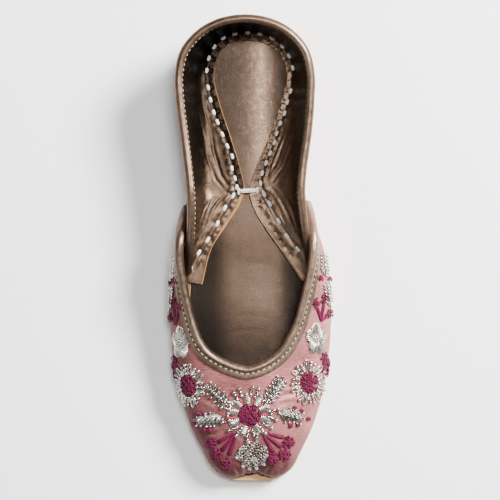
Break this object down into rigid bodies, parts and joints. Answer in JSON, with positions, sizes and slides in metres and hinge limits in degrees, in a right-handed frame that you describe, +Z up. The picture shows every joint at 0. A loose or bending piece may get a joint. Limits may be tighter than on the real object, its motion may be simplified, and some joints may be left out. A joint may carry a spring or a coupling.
{
  "type": "mojari shoe",
  "caption": "Woman's slip-on mojari shoe with a low embroidered satin vamp, soft folded quarters with bound edges and a thin flat leather sole.",
  "frame": {"origin": "middle of the bounding box in plan, on the ground plane under the sole", "axes": "+Z up, -Y towards the toe, +Y towards the heel, -X towards the outer side of the foot"},
  "size_m": [0.087, 0.2502, 0.0528],
  "materials": {
    "outsole": "undyed tan sole leather, burnished edge",
    "insole": "soft bronze metallic leather",
    "upper_vamp": "dusty rose satin over leather, hand embroidered",
    "upper_quarters": "dusty rose satin outside, bronze metallic leather lining inside",
    "vamp_binding": "bronze metallic leather with a cream topstitch",
    "quarter_binding": "bronze metallic leather with a cream topstitch"
  },
  "bodies": {
    "root": {"outsole": "outsole", "insole": "insole", "upper_vamp": "upper_vamp", "upper_quarters": "upper_quarters", "vamp_binding": "vamp_binding", "quarter_binding": "quarter_binding"}
  },
  "joints": []
}
